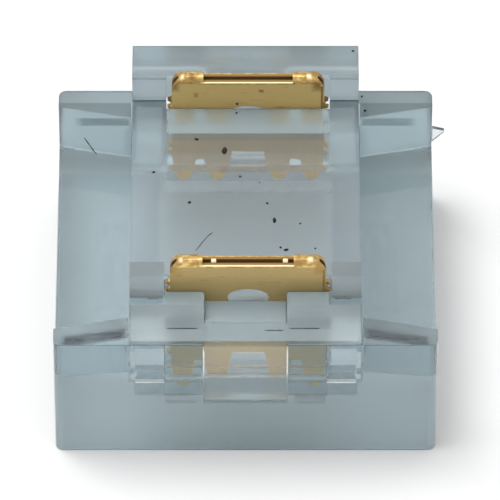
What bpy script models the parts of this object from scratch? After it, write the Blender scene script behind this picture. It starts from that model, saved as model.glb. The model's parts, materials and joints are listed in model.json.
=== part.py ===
"""Led strip connector: a clear press-down cap with two folded contacts, closed on a clear base.

Frame: metres, +Z up, origin at the centre of the base's underside.
X is the way the led strip runs through the base, from mouth to mouth.
Y runs across the strip, from the front wall (-Y) to the rear wall (+Y).
Sizes are named in millimetres, and the helpers turn them into metres when a mesh is made.
"""

import math

import bmesh
import bpy
from mathutils import Matrix

COLLECTION_NAME = "led_strip_connector"
CUTTER_COLLECTION_NAME = "cutters"
METRES = 0.001
WELD_DISTANCE = 0.0000005
SMOOTH_ANGLE = math.radians(30)
ARC_STEPS = 6
CORNER_STEPS = 3
ROUND_PROFILE = 0.5
HOLE_STEPS = 28
FRONT, REAR = -1, 1
LEFT, RIGHT = -1, 1

# Clearances and cutter overlaps
CAP_GAP = 0.08
CONTACT_GAP = 0.05
STRIP_GAP = 0.25
TOOTH_SIDE_GAP = 0.3
TOOTH_TIP_GAP = 0.25
OVERCUT = 1.0
JOIN_INSET = 0.05

# Base housing
BASE_WIDTH = 14.8
BASE_DEPTH = 13.9
BASE_HEIGHT = 5.95
BASE_CORNER = 0.3
FLOOR_HEIGHT = 3.7
CHANNEL_NECK = 10.9
CHANNEL_FLARE = 0.6
WEB_THICKNESS = 0.7
WELL_REACH = 1.1

# Cap
CAP_WIDTH = 8.9
PLATE_THICKNESS = 1.2
RIDGE_HEIGHT = 1.2
COLLAR_WALL = 0.8
UNDERCUT_RISE = 0.1
LIP_HEIGHT = 0.14
SLOPE_DEPTH = 0.95
REAR_BLOCK_DEPTH = 1.82
FRONT_RIDGE_SETBACK = 1.29
FRONT_RIDGE_DEPTH = 0.8
SKIRT_THICKNESS = 0.57
SKIRT_REACH = 2.35

# Tongue in the middle of each long wall
TONGUE_WIDTH = 3.14
TONGUE_REACH = 3.16
TONGUE_SETBACK = 0.04
SHELF_STEP = 0.52
EAR_RADIUS = 0.2

# Latch hooks on the skirts
LATCH_SPACING = 7.4
LATCH_WIDTH = 1.0
HOOK_DROP = 0.33
HOOK_HEIGHT = 0.54
HOOK_DEPTH = 0.3
HOOK_LEAD = 0.26

# Contacts: folded strips of plated sheet
CONTACT_LENGTH = 6.0
CONTACT_PITCH = 9.96
CONTACT_OFFSET = 0.1
CONTACT_PROUD = 0.4
SHEET = 0.18
FOLD_WIDTH = 0.57
CONTACT_CORNER = 0.75
WINDOW_LENGTH = 3.5
WINDOW_DEPTH = 0.24
HOLE_LENGTH = 1.65
HOLE_HEIGHT = 1.0
HOLE_DROP = 2.0
TOOTH_REACH = 1.25
TOOTH_HEIGHT = 1.5
TOOTH_WIDTH = 0.93
TOOTH_TIP_WIDTH = 0.42
TOOTH_SHOULDER = 0.6
TOOTH_DRAFT = 0.09
TOOTH_NOTCH = 0.4
TOOTH_WEB_RISE = 0.45
WEB_SHARE = 0.85
BARB = 0.17
BARB_HEIGHT = 0.24
BARB_POINT_DROP = 0.08
BARB_DROP = 1.5
LOWER_BARB_DROP = 4.1

# Moulding flash on the right-hand end
FLASH_REACH = 0.5
FLASH_HEIGHT = 0.85
FLASH_THICKNESS = 0.16
FLASH_LEVEL = 4.1
FLASH_INSET = 0.55
FLASH_ROOT = 0.25
FLASH_POINT_RISE = 0.21
FLASH_POINT_HEIGHT = 0.085

# Levels and places that follow from the sizes above
PLATE_BOTTOM = BASE_HEIGHT + CAP_GAP
CAP_LEVEL = PLATE_BOTTOM + PLATE_THICKNESS
CAP_TOP = CAP_LEVEL + RIDGE_HEIGHT
CAP_UNDERSIDE = FLOOR_HEIGHT + STRIP_GAP
WALL_FACE = BASE_DEPTH / 2
WEB_INNER = WALL_FACE - WEB_THICKNESS
SKIRT_OUTER = WEB_INNER - CAP_GAP
SKIRT_INNER = SKIRT_OUTER - SKIRT_THICKNESS
SKIRT_BOTTOM = BASE_HEIGHT - SKIRT_REACH
TONGUE_BOTTOM = BASE_HEIGHT - TONGUE_REACH
HOOK_BOTTOM = SKIRT_BOTTOM - HOOK_DROP
HOOK_TOP = HOOK_BOTTOM + HOOK_HEIGHT
CONTACT_TOP = CAP_TOP + CONTACT_PROUD
TOOTH_TIP = CAP_UNDERSIDE - TOOTH_REACH
WELL_FLOOR = TOOTH_TIP - TOOTH_TIP_GAP
POCKET_LENGTH = CONTACT_LENGTH + 2 * (BARB + CONTACT_GAP)
POCKET_WIDTH = FOLD_WIDTH + 2 * CONTACT_GAP
POCKET_LEFT = CONTACT_OFFSET - POCKET_LENGTH / 2
POCKET_RIGHT = CONTACT_OFFSET + POCKET_LENGTH / 2
COLLAR_INNER = (CONTACT_PITCH - POCKET_WIDTH) / 2 - COLLAR_WALL
TONGUE_HALF = TONGUE_WIDTH / 2


def clear_scene():
    """Removes every object of the scene that the script finds."""
    for old in list(bpy.data.objects):
        bpy.data.objects.remove(old, do_unlink=True)


def make_collection(name):
    """A new collection linked to the scene."""
    collection = bpy.data.collections.new(name)
    bpy.context.scene.collection.children.link(collection)
    return collection


def make_material(name, colour, roughness, metallic, transmission):
    """A plain Principled BSDF with the colour and finish seen on the part."""
    material = bpy.data.materials.new(name)
    material.use_nodes = True
    shader = material.node_tree.nodes["Principled BSDF"]
    shader.inputs["Base Color"].default_value = (*colour, 1.0)
    shader.inputs["Roughness"].default_value = roughness
    shader.inputs["Metallic"].default_value = metallic
    shader.inputs["Transmission Weight"].default_value = transmission
    return material


def move_to(obj, collection):
    """Leaves the object in one collection only."""
    for old in list(obj.users_collection):
        old.objects.unlink(obj)
    collection.objects.link(obj)


def box(name, collection, x_range, y_range, z_range):
    """A cube primitive stretched to the three ranges, in millimetres."""
    bpy.ops.mesh.primitive_cube_add(size=1.0)
    obj = bpy.context.object
    obj.name = name
    spans = (x_range, y_range, z_range)
    size = [(high - low) * METRES for low, high in spans]
    centre = [(high + low) / 2 * METRES for low, high in spans]
    obj.data.transform(Matrix.Diagonal((*size, 1.0)))
    obj.data.transform(Matrix.Translation(centre))
    move_to(obj, collection)
    return obj


def outline_solid(name, collection, points, thickness, turn):
    """A flat outline filled and extruded to a thickness, then turned from the XY plane to its own."""
    curve = bpy.data.curves.new(name, "CURVE")
    curve.dimensions = "2D"
    curve.fill_mode = "BOTH"
    curve.extrude = thickness / 2 * METRES
    spline = curve.splines.new("POLY")
    spline.points.add(len(points) - 1)
    for point, (across, up) in zip(spline.points, points):
        point.co = (across * METRES, up * METRES, 0.0, 1.0)
    spline.use_cyclic_u = True
    flat = bpy.data.objects.new(name + "_outline", curve)
    collection.objects.link(flat)
    depsgraph = bpy.context.evaluated_depsgraph_get()
    mesh = bpy.data.meshes.new_from_object(flat.evaluated_get(depsgraph))
    bpy.data.objects.remove(flat, do_unlink=True)
    shape = bmesh.new()
    shape.from_mesh(mesh)
    bmesh.ops.remove_doubles(shape, verts=shape.verts, dist=WELD_DISTANCE)
    bmesh.ops.recalc_face_normals(shape, faces=shape.faces)
    shape.to_mesh(mesh)
    shape.free()
    mesh.transform(turn)
    obj = bpy.data.objects.new(name, mesh)
    collection.objects.link(obj)
    return obj


def upright_along_y():
    """Turns an outline drawn in X and Z so that its thickness runs along Y."""
    return Matrix.Rotation(math.pi / 2, 4, "X")


def upright_along_x():
    """Turns an outline drawn in Y and Z so that its thickness runs along X."""
    return Matrix.Rotation(math.pi / 2, 4, "Z") @ Matrix.Rotation(math.pi / 2, 4, "X")


def shift(x=0.0, y=0.0, z=0.0):
    """A move in millimetres."""
    return Matrix.Translation((x * METRES, y * METRES, z * METRES))


def arc(centre, radius, start, end, steps=ARC_STEPS):
    """Points on an arc, start and end in degrees."""
    angles = [math.radians(start + (end - start) * step / steps) for step in range(steps + 1)]
    return [(centre[0] + radius * math.cos(a), centre[1] + radius * math.sin(a)) for a in angles]


def boolean(target, tool, operation):
    """Cuts, joins or intersects the target with a hidden tool object."""
    tool.hide_render = True
    tool.display_type = "WIRE"
    modifier = target.modifiers.new(operation.lower() + "_" + tool.name, "BOOLEAN")
    modifier.operation = operation
    modifier.object = tool
    modifier.solver = "EXACT"


def cut(target, tool):
    """Takes the tool's volume out of the target."""
    boolean(target, tool, "DIFFERENCE")


def join(target, tool):
    """Adds the tool's volume to the target."""
    boolean(target, tool, "UNION")


def apply_modifiers(obj):
    """Freezes the modifiers into the mesh and shades its rounded faces smooth."""
    depsgraph = bpy.context.evaluated_depsgraph_get()
    mesh = bpy.data.meshes.new_from_object(obj.evaluated_get(depsgraph))
    obj.modifiers.clear()
    obj.data = mesh
    mesh.shade_smooth()
    mesh.set_sharp_from_angle(angle=SMOOTH_ANGLE)


def side_range(side, near, far):
    """A range of Y or X between two distances from the middle, on one side of it."""
    return tuple(sorted((side * near, side * far)))


def round_upright_corners(obj, radius):
    """Rounds the vertical corners of a plain block."""
    shape = bmesh.new()
    shape.from_mesh(obj.data)
    upright = [e for e in shape.edges if abs(e.verts[0].co.z - e.verts[1].co.z) > radius * METRES]
    bmesh.ops.bevel(
        shape, geom=upright, affect="EDGES", offset=radius * METRES, segments=CORNER_STEPS,
        profile=ROUND_PROFILE,
    )
    shape.to_mesh(obj.data)
    shape.free()


def channel_outline():
    """Plan of the strip's channel: parallel at the cap, flared to both mouths and run out past them."""
    neck_end = CAP_WIDTH / 2 + CAP_GAP
    mouth_end = BASE_WIDTH / 2 + OVERCUT
    neck = CHANNEL_NECK / 2
    slope = CHANNEL_FLARE / (BASE_WIDTH / 2 - neck_end)
    mouth = neck + slope * (mouth_end - neck_end)
    lower = [(-mouth_end, -mouth), (-neck_end, -neck), (neck_end, -neck), (mouth_end, -mouth)]
    return lower + [(x, -y) for x, y in reversed(lower)]


def flash_outline():
    """The pointed flake of moulding flash, drawn in X and Z on the right-hand end face."""
    root = BASE_WIDTH / 2 - FLASH_ROOT
    tip = BASE_WIDTH / 2 + FLASH_REACH
    high = FLASH_LEVEL + FLASH_HEIGHT / 2
    low = FLASH_LEVEL - FLASH_HEIGHT / 2
    point = FLASH_LEVEL + FLASH_POINT_RISE
    blunt_end = [(tip, point - FLASH_POINT_HEIGHT), (tip, point)]
    return [(root, low), (BASE_WIDTH / 2, low), *blunt_end, (root, high)]


def build_base(parts, cutters, plastic):
    """The base: a block with the strip's channel, the wells under the teeth and the cap's seats."""
    half_width, half_depth = BASE_WIDTH / 2, BASE_DEPTH / 2
    base = box("base_housing", parts, (-half_width, half_width), (-half_depth, half_depth), (0, BASE_HEIGHT))
    base.data.materials.append(plastic)
    round_upright_corners(base, BASE_CORNER)
    above = BASE_HEIGHT + OVERCUT

    flash_turn = shift(y=WALL_FACE - FLASH_INSET) @ upright_along_y()
    join(base, outline_solid("flash", cutters, flash_outline(), FLASH_THICKNESS, flash_turn))

    channel_turn = shift(z=(FLOOR_HEIGHT + above) / 2)
    cut(base, outline_solid("channel", cutters, channel_outline(), above - FLOOR_HEIGHT, channel_turn))

    seat_half = CAP_WIDTH / 2 + CAP_GAP
    well_x = (POCKET_LEFT - CONTACT_GAP, POCKET_RIGHT + CONTACT_GAP)
    notch_half = TONGUE_HALF + CAP_GAP
    latch_half = LATCH_WIDTH / 2 + CAP_GAP
    well_outer = (CONTACT_PITCH + FOLD_WIDTH) / 2 + TOOTH_SIDE_GAP
    well_inner = (CONTACT_PITCH - FOLD_WIDTH) / 2 - WELL_REACH
    seat_inner = min(CHANNEL_NECK / 2, SKIRT_INNER) - CAP_GAP
    for side, name in ((FRONT, "front"), (REAR, "rear")):
        seat_y = side_range(side, seat_inner, WEB_INNER)
        seat_z = (SKIRT_BOTTOM - CAP_GAP, above)
        cut(base, box(name + "_skirt_seat", cutters, (-seat_half, seat_half), seat_y, seat_z))
        well_y = side_range(side, well_inner, well_outer)
        cut(base, box(name + "_well", cutters, well_x, well_y, (WELL_FLOOR, above)))
        notch_y = side_range(side, seat_inner, WALL_FACE + OVERCUT)
        notch_z = (TONGUE_BOTTOM - CAP_GAP, above)
        cut(base, box(name + "_tongue_notch", cutters, (-notch_half, notch_half), notch_y, notch_z))
        for end, end_name in ((LEFT, "left"), (RIGHT, "right")):
            centre = end * LATCH_SPACING / 2
            latch_x = (centre - latch_half, centre + latch_half)
            label = name + "_" + end_name
            window_z = (HOOK_BOTTOM - CAP_GAP, HOOK_TOP + CAP_GAP)
            window_y = side_range(side, seat_inner, WALL_FACE + OVERCUT)
            cut(base, box(label + "_window", cutters, latch_x, window_y, window_z))
            groove_y = side_range(side, seat_inner, SKIRT_OUTER + HOOK_DEPTH + CAP_GAP)
            cut(base, box(label + "_groove", cutters, latch_x, groove_y, (HOOK_BOTTOM, above)))
    return base


def cap_profile():
    """Side profile of the cap in Y and Z, the same from end to end of its width."""
    block_face = WALL_FACE - REAR_BLOCK_DEPTH
    top = [
        (-WALL_FACE, PLATE_BOTTOM), (-WALL_FACE, PLATE_BOTTOM + LIP_HEIGHT),
        (-WALL_FACE + SLOPE_DEPTH, CAP_LEVEL),
        (block_face, CAP_LEVEL), (block_face, CAP_TOP),
        (WALL_FACE, CAP_TOP), (WALL_FACE, PLATE_BOTTOM),
    ]
    rear_foot = [
        (SKIRT_OUTER, PLATE_BOTTOM), (SKIRT_OUTER, SKIRT_BOTTOM),
        (SKIRT_INNER, SKIRT_BOTTOM), (SKIRT_INNER, CAP_UNDERSIDE),
        (COLLAR_INNER, CAP_UNDERSIDE), (COLLAR_INNER, PLATE_BOTTOM + UNDERCUT_RISE),
    ]
    front_foot = [(-y, z) for y, z in reversed(rear_foot)]
    return top + rear_foot + front_foot


def shelf_cut_outline():
    """The lower middle of the front shelf in X and Z, with the ears' top corners rounded into it."""
    floor = CAP_LEVEL - SHELF_STEP
    above = CAP_TOP + OVERCUT
    ear = TONGUE_HALF + EAR_RADIUS
    right = [(TONGUE_HALF, floor)] + arc((ear, CAP_LEVEL - EAR_RADIUS), EAR_RADIUS, 180, 90)
    right.append((ear, above))
    return right + [(-x, z) for x, z in reversed(right)]


def hook_profile(side):
    """Side profile of a latch hook in Y and Z, with its lead-in slope below."""
    nose = SKIRT_OUTER + HOOK_DEPTH
    root = SKIRT_INNER + JOIN_INSET
    profile = [
        (root, HOOK_BOTTOM), (SKIRT_OUTER, HOOK_BOTTOM), (nose, HOOK_BOTTOM + HOOK_LEAD),
        (nose, HOOK_TOP), (root, HOOK_TOP),
    ]
    return [(side * y, z) for y, z in profile]


def build_cap(parts, cutters, plastic, carrier):
    """The cap: a profile across the strip, with contact pockets, tongues, skirts and hooks."""
    cap = outline_solid("cap", parts, cap_profile(), CAP_WIDTH, upright_along_x())
    cap.data.materials.append(plastic)
    above = CAP_TOP + OVERCUT
    below = -OVERCUT
    pocket_x = (POCKET_LEFT, POCKET_RIGHT)
    tongue_face = WALL_FACE - TONGUE_SETBACK
    for side, name in ((FRONT, "front"), (REAR, "rear")):
        tongue_y = side_range(side, SKIRT_OUTER - JOIN_INSET, tongue_face)
        tongue_z = (TONGUE_BOTTOM, PLATE_BOTTOM + JOIN_INSET)
        join(cap, box(name + "_tongue", cutters, (-TONGUE_HALF, TONGUE_HALF), tongue_y, tongue_z))
        for end, end_name in ((LEFT, "left"), (RIGHT, "right")):
            hook_turn = shift(x=end * LATCH_SPACING / 2) @ upright_along_x()
            label = name + "_" + end_name + "_hook"
            join(cap, outline_solid(label, cutters, hook_profile(side), LATCH_WIDTH, hook_turn))
        middle = side * CONTACT_PITCH / 2
        pocket_y = (middle - POCKET_WIDTH / 2, middle + POCKET_WIDTH / 2)
        cut(cap, box(name + "_pocket", cutters, pocket_x, pocket_y, (below, above)))
    ridge_front = -(WALL_FACE - FRONT_RIDGE_SETBACK)
    ridge_y = (ridge_front, ridge_front + FRONT_RIDGE_DEPTH)
    ridge_z = (CAP_LEVEL - JOIN_INSET, CAP_TOP)
    join(cap, box("left_ridge", cutters, (-CAP_WIDTH / 2, POCKET_LEFT), ridge_y, ridge_z))
    join(cap, box("right_ridge", cutters, (POCKET_RIGHT, CAP_WIDTH / 2), ridge_y, ridge_z))
    shelf_depth = WALL_FACE - CONTACT_PITCH / 2 + OVERCUT
    shelf_turn = shift(y=-CONTACT_PITCH / 2 - shelf_depth / 2) @ upright_along_y()
    cut(cap, outline_solid("shelf_step", cutters, shelf_cut_outline(), shelf_depth, shelf_turn))
    cap.parent = carrier
    return cap


def fold_profile():
    """Section of a contact in Y and Z: two plates joined by a half-round bend at the top."""
    outer = FOLD_WIDTH / 2
    inner = outer - SHEET
    bend = CONTACT_TOP - outer
    end = TOOTH_TIP - OVERCUT
    outside = [(outer, end)] + arc((0, bend), outer, 0, 180, 2 * ARC_STEPS) + [(-outer, end)]
    inside = [(-inner, end)] + arc((0, bend), inner, 180, 0, 2 * ARC_STEPS) + [(inner, end)]
    return outside + inside


def tooth(left):
    """Outline of one tooth from its left root to its right root, drawn downwards in X and Z."""
    right = left + TOOTH_WIDTH
    root = TOOTH_TIP + TOOTH_HEIGHT
    shoulder = TOOTH_TIP + TOOTH_SHOULDER
    middle = left + TOOTH_WIDTH / 2
    tip = TOOTH_TIP_WIDTH / 2
    return [
        (left, root), (left + TOOTH_DRAFT, shoulder), (middle - tip, TOOTH_TIP),
        (middle + tip, TOOTH_TIP), (right - TOOTH_DRAFT, shoulder), (right, root),
    ]


def barb(drop):
    """A small barb on the right-hand edge, a distance below the contact's top."""
    edge = CONTACT_LENGTH / 2
    top = CONTACT_TOP - drop
    return [(edge, top - BARB_HEIGHT), (edge + BARB, top - BARB_POINT_DROP), (edge, top)]


def contact_outline():
    """Outline of a contact seen from the front, in X and Z: teeth below, round shoulders above.

    The teeth have no root point of their own at the middle gap and at the outer edge.
    """
    edge = CONTACT_LENGTH / 2
    outer_left = edge - TOOTH_WIDTH
    inner_left = outer_left - TOOTH_NOTCH - TOOTH_WIDTH
    web = TOOTH_TIP + TOOTH_HEIGHT + TOOTH_WEB_RISE
    right = [(inner_left * WEB_SHARE, web)]
    right += tooth(inner_left)[1:] + tooth(outer_left)[:-1]
    right += barb(LOWER_BARB_DROP) + barb(BARB_DROP)
    right += arc((edge - CONTACT_CORNER, CONTACT_TOP - CONTACT_CORNER), CONTACT_CORNER, 0, 90)
    return right + [(-x, z) for x, z in reversed(right)]


def hole_outline():
    """The oval hole through both plates, in X and Z."""
    centre = CONTACT_TOP - HOLE_DROP
    angles = [math.tau * step / HOLE_STEPS for step in range(HOLE_STEPS)]
    return [(HOLE_LENGTH / 2 * math.cos(a), centre + HOLE_HEIGHT / 2 * math.sin(a)) for a in angles]


def build_contact(name, side, parts, cutters, metal, carrier):
    """One contact: the bent section cut to its outline, with the window in the bend and the oval hole."""
    place = shift(x=CONTACT_OFFSET, y=side * CONTACT_PITCH / 2)
    wide = CONTACT_LENGTH + 2 * OVERCUT
    contact = outline_solid(name, parts, fold_profile(), wide, place @ upright_along_x())
    contact.data.materials.append(metal)
    blank_turn = place @ upright_along_y()
    blank = outline_solid(name + "_blank", cutters, contact_outline(), FOLD_WIDTH + OVERCUT, blank_turn)
    boolean(contact, blank, "INTERSECT")
    hole = outline_solid(name + "_hole", cutters, hole_outline(), FOLD_WIDTH + OVERCUT, blank_turn)
    cut(contact, hole)
    middle = side * CONTACT_PITCH / 2
    window_x = (CONTACT_OFFSET - WINDOW_LENGTH / 2, CONTACT_OFFSET + WINDOW_LENGTH / 2)
    window_y = (middle - FOLD_WIDTH, middle + FOLD_WIDTH)
    window_z = (CONTACT_TOP - WINDOW_DEPTH, CONTACT_TOP + OVERCUT)
    cut(contact, box(name + "_window", cutters, window_x, window_y, window_z))
    apply_modifiers(contact)
    contact.parent = carrier
    return contact


def main():
    """Builds the base, then the cap with its two contacts on the carrier that slides."""
    clear_scene()
    parts = make_collection(COLLECTION_NAME)
    cutters = make_collection(CUTTER_COLLECTION_NAME)
    base_plastic = make_material("clear_base", (0.62, 0.72, 0.74), 0.08, 0.0, 0.9)
    cap_plastic = make_material("clear_cap", (0.66, 0.75, 0.77), 0.08, 0.0, 0.9)
    gold = make_material("gold_plate", (0.72, 0.47, 0.14), 0.3, 1.0, 0.0)
    carrier = bpy.data.objects.new("cap_slide", None)
    parts.objects.link(carrier)
    build_base(parts, cutters, base_plastic)
    build_cap(parts, cutters, cap_plastic, carrier)
    build_contact("contact_front", FRONT, parts, cutters, gold, carrier)
    build_contact("contact_rear", REAR, parts, cutters, gold, carrier)


if __name__ == "__main__":
    main()
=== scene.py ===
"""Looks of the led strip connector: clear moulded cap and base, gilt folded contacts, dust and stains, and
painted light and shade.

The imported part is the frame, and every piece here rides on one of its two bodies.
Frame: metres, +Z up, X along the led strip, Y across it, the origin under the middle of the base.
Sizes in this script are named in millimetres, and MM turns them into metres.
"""

from __future__ import annotations

import json
import logging
import math
from dataclasses import dataclass, field
from enum import Enum

import bmesh
import bpy
import numpy as np
from mathutils import Matrix, Vector

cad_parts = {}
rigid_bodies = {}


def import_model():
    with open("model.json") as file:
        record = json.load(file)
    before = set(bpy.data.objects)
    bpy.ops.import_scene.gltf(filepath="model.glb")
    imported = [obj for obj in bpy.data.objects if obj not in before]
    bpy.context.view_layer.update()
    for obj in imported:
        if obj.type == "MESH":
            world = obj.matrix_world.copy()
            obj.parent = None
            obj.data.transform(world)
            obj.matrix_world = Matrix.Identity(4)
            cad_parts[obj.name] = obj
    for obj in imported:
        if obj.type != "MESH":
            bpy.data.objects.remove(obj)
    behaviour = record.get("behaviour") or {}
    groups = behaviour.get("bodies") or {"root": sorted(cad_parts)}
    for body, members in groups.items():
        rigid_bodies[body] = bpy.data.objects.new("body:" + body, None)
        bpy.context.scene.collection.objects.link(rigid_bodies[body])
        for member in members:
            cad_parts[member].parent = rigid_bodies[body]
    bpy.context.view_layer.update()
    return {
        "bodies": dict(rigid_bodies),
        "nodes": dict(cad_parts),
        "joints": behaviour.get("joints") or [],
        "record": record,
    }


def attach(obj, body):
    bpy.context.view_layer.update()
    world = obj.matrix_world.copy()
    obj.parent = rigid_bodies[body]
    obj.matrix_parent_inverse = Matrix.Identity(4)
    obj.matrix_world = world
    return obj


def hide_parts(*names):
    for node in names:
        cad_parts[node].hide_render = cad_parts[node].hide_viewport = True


logging.basicConfig(level=logging.INFO, format="%(message)s")
LOG = logging.getLogger("connector")

MM = 0.001
WELD = 1e-7  # metres within which corners are merged
SHARP = math.radians(30)  # least angle of an edge that is rounded
THIN = 0.05  # least half depth of a mark's core, in millimetres
CRISP = 0.02  # fade outside a skin with crisp edges, in millimetres
SIDES = ((-1.0, "left"), (1.0, "right"))
Point = tuple[float, float, float]
Edge = tuple[Point, Point]
Span = tuple[float, float]
Colour = tuple[float, float, float]
Tree = bpy.types.NodeTree
Socket = bpy.types.NodeSocket
Value = float | Socket


class Body(str, Enum):
    """The two rigid bodies of the frame."""

    BASE = "base"
    CAP = "cap"


class Slot(str, Enum):
    """The record's material slots."""

    BASE = "base_housing"
    CAP = "cap"
    CONTACT = "contact"


# ---- Finishes ----


@dataclass(frozen=True)
class Mottle:
    """A cloudy value from 0 to 1.

    Args:
        stretch: Scale of its noise along X, Y and Z, per metre.
        low: Noise that gives 0.
        high: Noise that gives 1.
    """

    stretch: Point
    low: float
    high: float


@dataclass(frozen=True)
class Core:
    """The strongest part of a mark.

    Args:
        centre: Its middle, in millimetres.
        half: Half its size, in millimetres.
        fade: Width of the fade outside it, in millimetres.
    """

    centre: Point
    half: Point
    fade: float


@dataclass(frozen=True)
class Zone:
    """A soft-edged box of a moulding that is rougher and has painted shade in its colour; a shade above 1 is
    painted light.

    Args:
        centre: Middle of the box, in millimetres.
        half: Half its size, in millimetres.
        softness: Width of the fade outside it, in millimetres.
        roughness: Roughness added inside it.
        shade: Factor on the colour inside it, the painted shade; above 1 it is painted light that takes back
            part of an earlier zone's shade.
    """

    centre: Point
    half: Point
    softness: float
    roughness: float
    shade: Colour


@dataclass(frozen=True)
class ClearPlastic:
    """A clear moulded plastic with a faint cast.

    Args:
        name: Name of the material.
        colour: Cast of the light that passes through, linear RGB.
        zones: Places of the mould that are rougher and have painted shade in their colour, and painted light
            in a few.
        marks: Round mould marks as centre and radius, in millimetres.
        roughness: Roughness of the polished faces.
        ior: Refractive index.
        haze: Share of the light that the plastic scatters, 0 to 1.
        grain: Strength of the fine relief.
        grain_depth: Depth of that relief, in millimetres.
        deeper: Share of the colour that is left where the plastic looks deepest.
        cast: Clouds between the colour and the deeper one.
        skin: Clouds of the roughness and the fine relief.
        mark_width: Width of the line of a round mark, in millimetres.
        mark_shade: Factor on the colour in that line.
    """

    name: str
    colour: Colour
    zones: tuple[Zone, ...]
    marks: tuple[tuple[Point, float], ...]
    roughness: float = 0.05
    ior: float = 1.58
    haze: float = 0.1
    grain: float = 0.12
    grain_depth: float = 0.01
    deeper: float = 0.93
    cast: Mottle = Mottle((260.0, 260.0, 260.0), 0.3, 0.7)
    skin: Mottle = Mottle((2200.0, 2200.0, 2200.0), 0.35, 0.75)
    mark_width: float = 0.07
    mark_shade: Colour = (0.86, 0.87, 0.88)


@dataclass(frozen=True)
class Touch:
    """A place of the gilt sheet with a colour laid over it; such places are stains, ragged duller gold,
    painted shade and painted highlights.

    Args:
        centre: Middle of the place, in millimetres.
        half: Half its size, in millimetres.
        softness: Width of the fade outside it, in millimetres.
        colour: Colour of the place, linear RGB.
        metal: How metallic the place is, 0 to 1.
        ragged: Whether the sheet's tatters break it up.
    """

    centre: Point
    half: Point
    softness: float
    colour: Colour
    metal: float
    ragged: bool = False


@dataclass(frozen=True)
class GiltSheet:
    """Gold-plated sheet with stains, painted shade and painted highlights.

    Args:
        name: Name of the material.
        colour: Clean colour of the plating, linear RGB.
        worn: Colour of the duller patches, linear RGB.
        touches: Places with a colour laid over them, among them stains, painted shade and painted highlights;
            each lies over the ones before it.
        roughness: Roughness of the clean plating where it is smoothest.
        metal: How metallic the clean plating is, 0 to 1.
        patches: The duller patches.
        specks: Fine specks, as dull as the patches.
        drawn: The lines of the drawn sheet, along X.
        tatters: The clouds that break up a ragged touch.
        patch_rough: Roughness that a patch adds.
        drawn_rough: Roughness that a drawn line adds.
        drawn_relief: Strength of the relief of the drawn lines.
        drawn_depth: Depth of that relief, in millimetres.
    """

    name: str
    colour: Colour
    worn: Colour
    touches: tuple[Touch, ...]
    roughness: float = 0.24
    metal: float = 0.95
    patches: Mottle = Mottle((900.0, 900.0, 1300.0), 0.45, 0.75)
    specks: Mottle = Mottle((5000.0, 5000.0, 5000.0), 0.62, 0.7)
    drawn: Mottle = Mottle((500.0, 4000.0, 9000.0), 0.3, 0.7)
    tatters: Mottle = Mottle((3600.0, 5000.0, 5000.0), 0.38, 0.6)
    patch_rough: float = 0.1
    drawn_rough: float = 0.16
    drawn_relief: float = 0.08
    drawn_depth: float = 0.003


@dataclass(frozen=True)
class Smudge:
    """A see-through mark in or on the moulding.

    Args:
        name: Name of the material.
        colour: Colour of the mark, linear RGB.
        strength: Opacity at its strongest, 0 to 1.
        stretch: Scale of the mark's texture along X, Y and Z, per metre.
        even: Share of the opacity that the texture leaves alone.
        slant: How far the mark runs towards -Y for each millimetre away from the middle.
        roughness: Roughness all over.
        low: Noise of the texture that gives 0.
        high: Noise of the texture that gives 1.
    """

    name: str
    colour: Colour
    strength: float
    stretch: Point
    even: float = 0.0
    slant: float = 0.0
    roughness: float = 0.8
    low: float = 0.35
    high: float = 0.6


@dataclass(frozen=True)
class Speckle:
    """A dull finish mottled between two colours.

    Args:
        name: Name of the material.
        dark: Darkest colour, linear RGB.
        light: Lightest colour, linear RGB.
        roughness: Roughness all over.
        grain: The clouds between the two.
    """

    name: str
    dark: Colour
    light: Colour
    roughness: float = 0.85
    grain: Mottle = Mottle((9000.0, 9000.0, 9000.0), 0.4, 0.7)


BASE_PLASTIC = ClearPlastic(
    name="clear_base_plastic",
    colour=(0.85, 0.925, 0.95),
    zones=(
        # Painted shade where the shade is below 1: the underside, the rear and front faces, the rear wall's
        # inner face and its latch windows.
        Zone((0.0, 0.0, 0.0), (8.0, 7.5, 0.05), 0.05, 0.45, (0.88, 0.97, 1.0)),
        Zone((0.0, 6.95, 3.2), (8.0, 0.05, 3.4), 0.1, 0.1, (0.42, 0.54, 0.58)),
        Zone((0.0, -6.95, 3.2), (8.0, 0.05, 3.4), 0.1, 0.05, (0.66, 0.735, 0.765)),
        Zone((0.0, 5.75, 4.9), (8.0, 0.45, 1.1), 0.1, 0.32, (0.48, 0.54, 0.56)),
        Zone((0.0, 6.6, 3.6), (4.6, 0.3, 0.8), 0.1, 0.4, (0.5, 0.55, 0.57)),
        # Roughness only at the rear wall's top; the next two zones are painted light at its inner edge and on
        # the channel's floor beside it.
        Zone((0.0, 6.25, 5.95), (8.0, 0.95, 0.04), 0.05, 0.3, (1.0, 1.0, 1.0)),
        Zone((0.0, 5.7, 5.95), (8.0, 0.3, 0.04), 0.15, 0.1, (1.11, 1.055, 1.035)),
        Zone((0.0, 5.2, 3.7), (8.0, 0.6, 0.04), 0.3, 0.3, (1.1, 1.055, 1.035)),
        # Warm painted light on the front face: the glow of the outer teeth seen through it.
        Zone((-2.35, -6.95, 5.05), (0.45, 0.05, 0.62), 0.16, 0.0, (1.2, 1.07, 0.9)),
        Zone((2.35, -6.95, 5.05), (0.45, 0.05, 0.62), 0.16, 0.0, (1.2, 1.07, 0.9)),
    ),
    marks=(((0.0, -6.95, 2.49), 0.31),),
    haze=0.045,
)
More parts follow.
